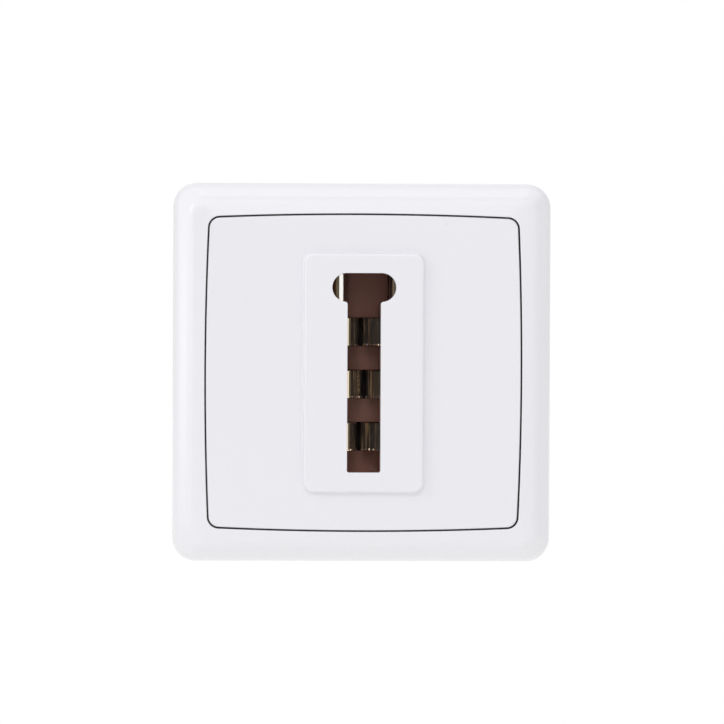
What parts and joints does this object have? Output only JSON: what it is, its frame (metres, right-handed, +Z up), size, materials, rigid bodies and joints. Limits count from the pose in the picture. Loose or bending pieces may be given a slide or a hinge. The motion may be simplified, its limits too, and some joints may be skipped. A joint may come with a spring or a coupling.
{
  "type": "telephone socket",
  "caption": "Flush square wall telephone socket: bevelled white frame, slightly domed plate with a raised pad and T-shaped plug slot, spring contacts, rear wire terminals.",
  "frame": {"origin": "midway between the two box screw slots, on the rear face of the mounting bridge, which is the wall plane", "axes": "+X to the right and +Z upwards seen from the room, -Y out into the room, +Y into the wall box"},
  "size_m": [0.0808, 0.0271, 0.0808],
  "materials": {
    "white_plastic": "smooth moulded, soft gloss",
    "brown_plastic": "fine matt moulding",
    "steel": "zinc plated",
    "brass": "rolled strip, tarnished, worn bright at the noses"
  },
  "bodies": {
    "root": {"cover_frame": "white_plastic", "centre_plate": "white_plastic", "mounting_bridge": "steel", "connector_housing": "brown_plastic", "terminal_block": "brown_plastic", "terminal_screws": "steel", "clamp_washers": "steel", "terminal_nuts": "steel", "bridge_screws": "steel", "block_screws": "steel", "contact_1": "brass", "contact_2": "brass", "contact_3": "brass", "contact_4": "brass", "contact_5": "brass", "contact_6": "brass", "contact_7": "brass", "contact_8": "brass"}
  },
  "joints": []
}
